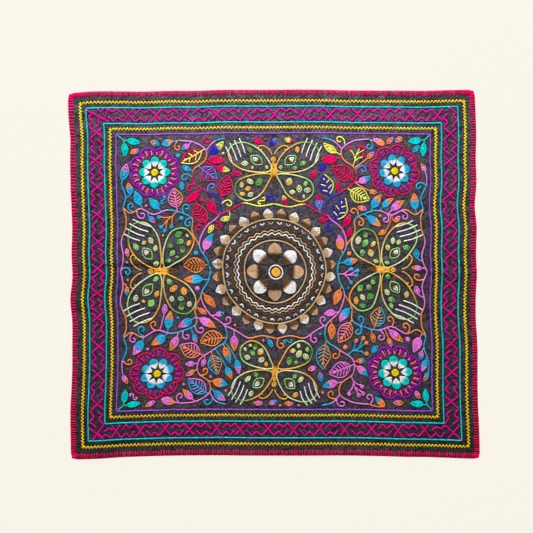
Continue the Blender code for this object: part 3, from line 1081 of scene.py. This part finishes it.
def growAlong(lines, kind):
    # along every vine, on either side of it, as far as there is room
    step = growth["steps"][kind]
    spots = []
    for line in lines:
        path, lengths = measured(line)
        at = np.arange(growth["from"] + rng.uniform(0, step), lengths[-1] - growth["toEnd"], step)
        roots, ahead = (pathAt(path, lengths, at + more) for more in (0, growth["ahead"]))
        spots += [(root, turnOf(way)) for root, way in zip(roots, ahead - roots)]
    grown = 0
    for spot in rng.permutation(len(spots)):
        for side in rng.permutation((1, -1)):
            if grown < growth["most"][kind]:
                grown += grow(kind, *spots[spot], side)
    print("  ", kind, "grown:", grown)


# The medallion: rings, petals, wavy rings and ticks in white, tan and brown

medallion = {
    "eye": (14, 7), "eyeRing": 10.2,
    "petals": {"count": 8, "from": 13, "size": (30, 10.2), "colours": (("umber", "tan"), ("brown", "white"))},
    "petalRing": 46.5, "wavyRings": ((51.5, "brown"), (56, "white"), (60.5, "tan"), (65, "brown")),
    "wave": 1.4, "waves": 34,
    "ticks": 36, "tick": ((73.5, -3.4), (69.6, 0), (73.5, 3.4)), "tickRing": 77.5,
    "leaves": {"count": 28, "from": 77.6, "size": (17, 7.6), "colours": (("brown", "tan"), ("tan", "white"))},
    "cover": 97, "solid": 60,
}


def turns(count, shift=0, start=0.0):
    # even turns round a middle
    return [start + (k + shift) * math.tau / count for k in range(count)]


def roundPath(reach, angle):
    # (reach cos a, reach sin a)
    return np.stack([reach * np.cos(angle), reach * np.sin(angle)], -1)


def ringPath(radius, wave=0.0, waves=0, steps=240):
    # reach(a) = radius + wave cos(waves a)
    angle = np.arange(steps) / steps * math.tau
    return roundPath(radius + wave * np.cos(waves * angle), angle)


def sewRound(name, shape, row, shift=0, place=(0, 0), start=0.0):
    # shapes that point outwards all round a place, their colours in turn
    for k, turn in enumerate(turns(row["count"], shift, start)):
        colours = row["colours"][k % len(row["colours"])]
        fillShape(name, shape, *row["size"], colours, placed((row["from"], 0), place, turn), turn)


def sewMedallion():
    # from the middle outwards: eye, petals, wavy rings, pairs of ticks and leaves
    name = "medallion"
    fillShape(name, "spot", *medallion["eye"], ("amber",), (-medallion["eye"][0] / 2, 0))
    sew(name, ringPath(medallion["eyeRing"]), thin, paint("white"), closed=True)
    sewRound(name, "petal", medallion["petals"])
    sew(name, ringPath(medallion["petalRing"]), stem, paint("tan"), closed=True)
    for radius, colour in medallion["wavyRings"]:
        ring = ringPath(radius, medallion["wave"], medallion["waves"], 480)
        sew(name, ring, thin, paint(colour), closed=True)
    for k, turn in enumerate(turns(medallion["ticks"], 0.5)):
        for stroke in zip(medallion["tick"], medallion["tick"][1:]):
            sew(name, placed(stroke, (0, 0), turn), thin, paint(("white", "tan")[k % 2]))
    sew(name, ringPath(medallion["tickRing"]), stem, paint("tan"), closed=True)
    sewRound(name, "leaf", medallion["leaves"], 0.5)
    solid = medallion["solid"]
    occupy(ringPath(solid, steps=60), medallion["cover"] - solid)
    room[np.hypot(cellX, cellY) < solid] = 0


# Butterflies: outlined wings with filled spots

butterflyParts = {
    "wings": (((3, 8), (18, 33), (42, 46), (63, 40), (64, 20), (44, 4), (14, 0)),
              ((5, -3), (30, -4), (52, -13), (56, -31), (40, -43), (21, -35), (9, -16))),
    "wingColours": (("creamGreen", "lightGreen", "amber"), ("amber", "leafGreen", "creamGreen")),
    "strokes": (((51, 53), (41, 29)), ((58, 50), (47, 23)), ((64.5, 46), (53, 18)), ((70.5, 41), (60, 14))),
    "strokeBow": (1.2, 0),
    "eye": ((16, 12), (26, 20)), "eyeRing": (22, 7.2), "eyeFill": (16, 3.7),
    "eyeCover": (4, 6, 7.3, 7.6, 7.3, 6, 4),
    "feeler": ((1.5, 27), (5, 34), (12, 40), (19, 41), (22, 37), (19, 34), (16, 36)),
    "body": ((0, -25), (0, 20)), "bodyFill": (41, 5.2), "headFill": (9, 4.2), "bodyCover": 4.8,
}
wingSpots = {
    "least": 5.2, "clear": 1.2, "halfLength": (5.2, 7.0), "slim": (2.6, 3.3), "tries": 40, "scatter": 0.8,
    "colours": (("leafGreen",), ("lightGreen",), ("amber",), ("creamGreen",), ("deepGreen", "lightGreen"),
                ("amber", "creamGreen"), ("lightGreen", "leafGreen"), ("amber",), ("creamGreen",)),
}
butterflies = (
    {"place": (0, 147), "turn": 0, "scale": 1.0},
    {"place": (0, -147), "turn": 180, "scale": 1.0},
    {"place": (165, 0), "turn": -90, "scale": 1.12},
    {"place": (-165, 0), "turn": 90, "scale": 1.12},
)


def toButterfly(path, butterfly, side):
    # mirrored to a side, scaled, turned and moved to its place
    path = np.asarray(path, float) * (side, 1) * butterfly["scale"]
    return placed(path, (0, 0), math.radians(butterfly["turn"])) + butterfly["place"]


def butterflyAxis(spots, butterfly, side=1):
    # where a part starts, and its turn
    base, tip = (toButterfly(spot, butterfly, side) for spot in spots)
    return base, turnOf(tip - base)


def sewWings(butterfly, side):
    # outlines of the two wings on one side, and strokes past the upper one
    name, wings = "butterflies", []
    for k, points in enumerate(butterflyParts["wings"]):
        outline = toButterfly(smoothPath(points, closed=True), butterfly, side)
        names = butterflyParts["wingColours"][(k + (side > 0)) % 2]
        sew(name, outline, stem, blended(names + names[:1], np.linspace(0, 1, len(outline))), closed=True)
        occupy(outline[::2], 1.2)
        wings.append(insideOf(outline))
    for start, end in np.array(butterflyParts["strokes"]):
        stroke = smoothPath([start, (start + end) / 2 - butterflyParts["strokeBow"], end])
        stroke = toButterfly(stroke, butterfly, side)
        sew(name, stroke, thin, paint("white"))
        occupy(stroke[::3], 1.0)
    return wings


def sewEye(butterfly, side):
    # a lens-shaped ring round a filled lens
    eye, turn = butterflyAxis(butterflyParts["eye"], butterfly, side)
    ring = placed(loopOf("lens", *butterflyParts["eyeRing"], 0.3), eye, turn)
    sew("butterflies", ring, thin, paint("lightGreen"), closed=True)
    start = placed((3, 0), eye, turn)
    fillShape("butterflies", "lens", *butterflyParts["eyeFill"], ("brown", "white"), start, turn)
    occupy(placed(spine(2, 20, 7), eye, turn), butterflyParts["eyeCover"])


def sewWingSpots(inside):
    # ovals and lenses, each where the wing has most room, turned at random
    for attempt in range(wingSpots["tries"]):
        score = np.where(inside, room + rng.uniform(0, wingSpots["scatter"], room.shape), 0)
        row, column = np.unravel_index(score.argmax(), room.shape)
        space = room[row, column]
        if space < wingSpots["least"]:
            break
        length = 2 * min(space - wingSpots["clear"], rng.uniform(*wingSpots["halfLength"]))
        half = length / rng.uniform(*wingSpots["slim"])
        turn = rng.uniform(0, math.tau)
        way = wayOf(turn)
        start = np.array([cellX[row, column], cellY[row, column]]) - length / 2 * way
        shape = ("spot", "lens")[rng.integers(2)]
        colours = wingSpots["colours"][rng.integers(len(wingSpots["colours"]))]
        fillShape("butterflies", shape, length, half, colours, start, turn)
        occupy(start + way * length * np.linspace(0.15, 0.85, 5)[:, None], half * 0.85)
    room[inside] = 0


def sewButterfly(butterfly):
    # wings, eye, spots and feeler on both sides, then the body and the head
    name = "butterflies"
    for side in (1, -1):
        wings = sewWings(butterfly, side)
        sewEye(butterfly, side)
        for inside in wings:
            sewWingSpots(inside)
        feeler = smoothPath(toButterfly(butterflyParts["feeler"], butterfly, side))
        sew(name, feeler, thin, paint("amber"))
        occupy(feeler[::3], 1.4)
    base, turn = butterflyAxis(butterflyParts["body"], butterfly)
    length, half = butterflyParts["bodyFill"]
    fillShape(name, "leaf", length, half, ("amber", "brown"), placed((length, 0), base, turn), turn + math.pi)
    neck = placed((length - 0.5, 0), base, turn)
    fillShape(name, "spot", *butterflyParts["headFill"], ("amber",), neck, turn)
    occupy(placed(spine(0, 50, 12), base, turn), butterflyParts["bodyCover"])


# Flowers: petals round a yellow middle, in a ring of hatched lobes

flowerParts = {
    "middle": (11, 5.5), "petals": {"count": 8, "from": 6.5, "size": (18, 6.4)},
    "lobes": 31, "lobeRise": 7.5, "lobePower": 0.7,        # reach of the ring between its lobes and in them
    "hatches": 48, "hatchFrom": 26, "hatchTo": 28.5, "hatchBow": 0.9, "cover": 34,
}
flowers = (
    {"place": (179, 152), "petals": ("white", "cyan"), "lobes": "crimson",
     "hatch": ("purple", "rose"), "turn": 0.2},
    {"place": (-179, 152), "petals": ("white", "turquoise"), "lobes": "purple",
     "hatch": ("crimson", "pink"), "turn": 0.0},
    {"place": (-179, -152), "petals": ("white", "cyan"), "lobes": "crimson",
     "hatch": ("purple", "rose"), "turn": 0.3},
    {"place": (179, -152), "petals": ("white", "turquoise"), "lobes": "purple",
     "hatch": ("crimson", "pink"), "turn": 0.1},
)


def lobeReach(least, angle):
    # reach(a) = least + rise |sin 4a|^power
    return least + flowerParts["lobeRise"] * abs(np.sin(4 * angle)) ** flowerParts["lobePower"]


def sewFlower(flower):
    # petals at even turns, a ring at lobeReach(a) and strokes out to lobeReach(a) less a little
    name, place = "flowers", flower["place"]
    middle = flowerParts["middle"]
    fillShape(name, "spot", *middle, ("gold",), (place[0] - middle[0] / 2, place[1]))
    petals = {**flowerParts["petals"], "colours": (flower["petals"],)}
    sewRound(name, "petal", petals, place=place, start=flower["turn"])
    angle = np.arange(240) / 240 * math.tau
    lobes = roundPath(lobeReach(flowerParts["lobes"], angle), angle + flower["turn"]) + place
    sew(name, lobes, stem, paint(flower["lobes"]), closed=True)
    start, count = flowerParts["hatchFrom"], flowerParts["hatches"]
    for k in range(count):
        share = (k + 0.5) / count
        outer = lobeReach(flowerParts["hatchTo"], share * math.tau)
        bow = flowerParts["hatchBow"] * (-1) ** k
        hatch = smoothPath([(start, 0), ((start + outer) / 2, bow), (outer, 0)])
        hatch = placed(hatch, place, flower["turn"] + share * math.tau)
        sew(name, hatch, thin, paint(flower["hatch"][k % 2]))
    occupy(lobes[::6], 1.2)
    occupy([place], flowerParts["cover"])


cornerPair = {"corner": (233.5, 205.5), "fork": (8, 7), "turns": (186, -96), "stalk": 5, "leaf": (22, 5.0),
              "cover": 4.6}


def sewCorner(mirror):
    # a pair of leaves on one short stalk out of the corner
    corner = np.array(cornerPair["corner"])
    fork = corner - cornerPair["fork"]
    sew("vines", np.array([corner, fork]) * mirror, thin, paint("turquoise"))
    for degrees in cornerPair["turns"]:
        way = wayOf(math.radians(degrees))
        base = fork + cornerPair["stalk"] * way
        sew("vines", np.array([fork, base + way]) * mirror, thin, paint("turquoise"))
        fillShape("leaves", "leaf", *cornerPair["leaf"], ("turquoise",), base * mirror, turnOf(way * mirror))
        along = np.linspace(0, cornerPair["leaf"][0], 8)[:, None]
        occupy((base + way * along) * mirror, cornerPair["cover"])


# What fills the gaps between the vines

gaps = {
    "least": {"veined": 11.0, "broad": 7.6, "narrow": 6.2, "small": 5.0},      # room that each leaf needs
    "tries": 400, "turns": 24, "leafClear": 0.8, "leafBefore": 0.45,      # share before the middle
    "stalkReach": 34, "stalkAhead": 4, "stalkBow": 0.12, "stalkClear": 0.6, "stalkCover": 1.1,
    "curl": {"half": 12.5, "points": 14, "wind": 5.0, "power": 1.6, "turns": 16,
             "clear": 2.0, "cover": 1.4, "middleCover": 3.0}, "curls": 14,
    "star": 3.9, "starStrokes": 4, "starClear": 1.4, "starSpace": 6.4, "stars": 8,
    "dot": (5.2, 2.4), "dotApart": 14.0, "dots": 24,
}


def leafFor(kind, place, stems):
    # of all the turns, the one that fits with the shortest stalk to a vine; a small leaf may have no stalk
    best = loose = None
    nearest = gaps["stalkReach"]
    for turn in rng.permutation(gaps["turns"]) / gaps["turns"] * math.tau:
        size = randomSize(kind, ("length", "width"))
        way = wayOf(turn)
        base = place - gaps["leafBefore"] * size["length"] * way
        spots, radii = footprint(kind, base, turn, size, 0.0)
        if np.any(room[cellOf(spots)] < radii + gaps["leafClear"]):
            continue
        if kind == "small":
            loose = turn, size, base, np.array([base, base + way]), spots, radii
        root = stems[np.hypot(*(stems - (base - gaps["stalkAhead"] * way)).T).argmin()]
        reach = np.hypot(*(root - base))
        bend = (root + base) / 2 - gaps["stalkBow"] * reach * way
        stalk = smoothPath([root, bend, base + way])
        middle = stalk[len(stalk) // 4: 3 * len(stalk) // 4]
        if reach < nearest and np.all(room[cellOf(middle)] > gaps["stalkClear"]):
            nearest = reach
            best = turn, size, base, stalk, spots, radii
    return best or loose


def fillGap(place, space, stems):
    # the largest leaf that fits over the gap and whose stalk can reach a vine, or nothing
    for kind, least in gaps["least"].items():
        found = space >= least and leafFor(kind, place, stems)
        if found:
            turn, size, base, stalk, spots, radii = found
            names = pairAt(place)
            growing[kind][0](base, turn, size, names, 0.0)
            sew("vines", stalk, thin, paint(names[0]))
            radii = np.concatenate([radii, np.full(len(stalk), gaps["stalkCover"])])
            occupy(np.vstack([spots, stalk]), radii)
            return True
    return False


def sewDoubleCurl(place):
    # S: heading wind s^power from its middle outwards, and the other half turned round the middle
    look = gaps["curl"]
    s = np.linspace(0, 1, look["points"])
    half = windingPath(look["wind"] * s**look["power"], look["half"] / (look["points"] - 1))
    path = np.concatenate([-half[::-1], half])
    for turn in rng.permutation(look["turns"]) / look["turns"] * math.tau:
        line = placed(path, place, turn)
        if np.all(room[cellOf(line[::2])] > look["clear"]):
            sew("vines", line, stem, paint(pairAt(place)[0]))
            occupy(line, look["cover"])
            occupy([place], look["middleCover"])
            return True
    return False


def sewStar(place):
    # strokes across one another, at even turns
    size, strokes = gaps["star"], gaps["starStrokes"]
    turn = rng.uniform(0, math.tau)
    names = pairAt(place)
    for k in range(strokes):
        stroke = placed([(-size, 0), (size, 0)], place, turn + k * math.pi / strokes)
        sew("leaves", stroke, thin, paint(names[0]))
    occupy([place], size + gaps["starClear"])


def fillGaps(lines):
    # leaves where they can be reached from a vine, and elsewhere double curls, stars and a few dots
    stems = np.concatenate(lines)
    count = {"leaves": 0, "curls": 0, "stars": 0, "dots": 0}
    for attempt in range(gaps["tries"]):
        space, place = roomiest()
        if space < gaps["least"]["small"]:
            break
        if fillGap(place, space, stems):
            count["leaves"] += 1
        elif count["curls"] < gaps["curls"] and sewDoubleCurl(place):
            count["curls"] += 1
        elif space > gaps["starSpace"] and count["stars"] < gaps["stars"]:
            sewStar(place)
            count["stars"] += 1
        elif count["dots"] < gaps["dots"]:
            length, half = gaps["dot"]
            fillShape("leaves", "spot", length, half, pairAt(place)[:1], place - (length / 2, 0))
            occupy([place], gaps["dotApart"])
            count["dots"] += 1
        else:
            break
    print("   gaps filled:", count)


print("picture")
sewMedallion()
for butterfly in butterflies:
    sewButterfly(butterfly)
for flower in flowers:
    sewFlower(flower)
vineLines = sewVines()
for mirror in quarters:
    sewCorner(mirror)
for kind in growth["steps"]:
    growAlong(vineLines, kind)
fillGaps(vineLines)
mixedYarn = yarnMaterial("mixedYarn")
for name in ("medallion", "butterflies", "flowers", "vines", "veinedLeaves", "leaves"):
    yarnPiece(name, mixedYarn)


# The cotton ground, drawn down next to the stitches and painted darker there as shadow, with painted light up
# the cloth

groundCloth = {
    "columns": 252, "rows": 228, "underEvery": 4, "underGap": 0.1,
    "sink": 0.45, "sinkSpread": 3.2,         # how far the stitches draw the cloth down, and how wide
    "shade": 0.74, "paintedShadowSpread": 1.5,       # how dark the painted shadow next to them is, and how wide
    "fullCover": 97,                         # percentile that counts as covered
    "paintedLightHeights": (-275, -235, -200, -128, 0, 142, 275),          # painted light: the cotton painted lighter higher up the cloth
    "paintedLightUp": (0.57, 0.62, 0.8, 0.94, 0.87, 1.26, 1.48),
    "paintedLightReaches": (180, 240), "paintedLightOut": (1.0, 0.7),              # and painted lighter in the middle than towards the sides
}


def stitchCover(spread, x, y):
    # 1 mm cells that hold a stitch, marked and blurred: their spectrum times exp(-2 (pi spread f)^2)
    spots = np.concatenate([part[0].reshape(-1, 2) for parts in laid.values() for part in parts])
    cells = int(lie["height"]), int(lie["width"])
    count = np.histogram2d(spots[:, 1], spots[:, 0], cells, ((-halfHigh, halfHigh), (-halfWide, halfWide)))[0]
    paceY, paceX = np.fft.fftfreq(cells[0])[:, None], np.fft.rfftfreq(cells[1])
    blur = np.exp(-2 * (math.pi * spread) ** 2 * (paceX**2 + paceY**2))
    cover = np.fft.irfft2(np.fft.rfft2(np.minimum(count, 1)) * blur, cells)
    cover /= np.percentile(cover, groundCloth["fullCover"])
    row, column = (np.clip(place + half, 0, size - 1).astype(int)
                   for place, half, size in zip((y, x), (halfHigh, halfWide), cells))
    return np.clip(cover[row, column], 0, 1)


def paintedLightAt(x, y):
    # painted light on the cotton, lighter higher up and in the middle: one curve up the cloth times one out
    # from its middle
    up = np.interp(y, groundCloth["paintedLightHeights"], groundCloth["paintedLightUp"])
    return up * np.interp(abs(x), groundCloth["paintedLightReaches"], groundCloth["paintedLightOut"])


def cellsOf(index):
    # four corners of each cell of a grid
    return np.stack([index[:-1, :-1], index[:-1, 1:], index[1:, 1:], index[1:, :-1]], -1).reshape(-1, 4)


def rimOf(index):
    # once round the rim of a grid
    return np.concatenate([index[0, :-1], index[:-1, -1], index[-1, :0:-1], index[:0:-1, 0]])


def makeGround():
    # face z = lift + thickness - sink cover(x, y) on a fine grid, underside z = lift + gap on every
    # fourth line of it, and the two joined round the rim
    every = groundCloth["underEvery"]
    x, y = np.meshgrid(*(np.linspace(lie["rimInset"] - half, half - lie["rimInset"], groundCloth[key] + 1)
                         for half, key in ((halfWide, "columns"), (halfHigh, "rows"))))
    lowX, lowY = x[::every, ::every], y[::every, ::every]
    sink = groundCloth["sink"] * stitchCover(groundCloth["sinkSpread"], x, y)
    face = onCloth(x, y, lie["thickness"] - sink).reshape(-1, 3)
    under = onCloth(lowX, lowY, groundCloth["underGap"]).reshape(-1, 3)
    fine = np.arange(x.size).reshape(x.shape)
    coarse = x.size + np.arange(lowX.size).reshape(lowX.shape)
    rim, lowRim = rimOf(fine), rimOf(coarse)
    steps = np.arange(len(lowRim))[:, None] * every + np.arange(every, -1, -1)
    walls = np.concatenate([lowRim[:, None], np.roll(lowRim, -1)[:, None], rim[steps % len(rim)]], 1)
    quads = np.concatenate([cellsOf(fine), cellsOf(coarse)[:, ::-1]])
    corners = np.concatenate([quads.ravel(), walls.ravel()])
    starts = np.concatenate([np.arange(len(quads)) * 4, quads.size + np.arange(len(walls)) * walls.shape[1]])
    places = np.stack([np.append(x, lowX), np.append(y, lowY)], -1)
    # painted shadow next to the stitches, times the painted light up the cloth
    shade = 1 - groundCloth["shade"] * stitchCover(groundCloth["paintedShadowSpread"], *places.T)
    shade = np.repeat((shade * paintedLightAt(*places.T))[:, None], 3, 1)
    shape = np.concatenate([face, under]), corners, starts, (places * mm)[corners], shade
    cloth = newPiece("groundSheet", shape, clothMaterial(), "clothMap", "clothPaintedLightAndShadow")
    print("   groundSheet:", len(quads) * 2 + len(walls) * every + len(walls), "triangles")
    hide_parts("ground_cloth")
    return cloth


print("cotton ground")
ground = makeGround()


# Floor, light and camera

stage = {
    "floorColour": (0.947, 0.913, 0.823), "lit": 0.035, "glow": 0.955, "floorReach": 40,
    "eye": (-0.0111, 0.012, 2.6), "sensor": 36, "span": 0.7995,        # span: 533 pixels of 1.5 mm
    "world": 0.22,
}
lights = {      # place, aim, power and size
    "topLight": ((-0.22, 2.0, 1.15), (0, 0.05, 0), 92, 0.45),
    "fillLight": ((-0.4, 0.3, 2.4), (0, 0, 0), 10, 1.2),
}


def addObject(name, data):
    # links new data to the scene as an object
    made = bpy.data.objects.new(name, data)
    bpy.context.scene.collection.objects.link(made)
    return made


def makeFloor():
    # a wide flat square, lit a little and glowing for the rest
    material, tree, shader = startMaterial("paleFloor")
    feed(tree, shader, {
        "Base Color": (*[stage["lit"] * share for share in stage["floorColour"]], 1),
        "Emission Color": (*stage["floorColour"], 1), "Emission Strength": stage["glow"],
        "Roughness": 1.0, "Specular IOR Level": 0.0,
    })
    mesh = bpy.data.meshes.new("floor")
    reach = stage["floorReach"]
    corners = [(-reach, -reach, 0), (reach, -reach, 0), (reach, reach, 0), (-reach, reach, 0)]
    mesh.from_pydata(corners, [], [(0, 1, 2, 3)])
    mesh.materials.append(material)
    floor = addObject("floor", mesh)
    return floor


def addLight(name, place, aim, power, size):
    # a disc that faces its aim
    light = bpy.data.lights.new(name, "AREA")
    light.shape = "DISK"
    light.size = size
    light.energy = power
    lamp = addObject(name, light)
    lamp.location = place
    x, y, z = np.array(aim) - np.array(place)
    lamp.rotation_euler = (math.atan2(math.hypot(x, y), -z), 0, math.atan2(y, x) - math.pi / 2)


def makeCamera():
    # straight above, with a lens that takes in the span at the cloth
    camera = bpy.data.cameras.new("camera")
    camera.sensor_width = stage["sensor"]
    camera.lens = stage["sensor"] * stage["eye"][2] / stage["span"]
    view = addObject("camera", camera)
    view.location = stage["eye"]
    bpy.context.scene.camera = view


print("stage")
floor = makeFloor()
for name, light in lights.items():
    addLight(name, *light)
makeCamera()
world = bpy.data.worlds.new("studio")
world.use_nodes = True
feed(world.node_tree, world.node_tree.nodes["Background"],
     {"Color": (1, 1, 1, 1), "Strength": stage["world"]})
bpy.context.scene.world = world
bpy.context.scene.view_settings.view_transform = "Standard"
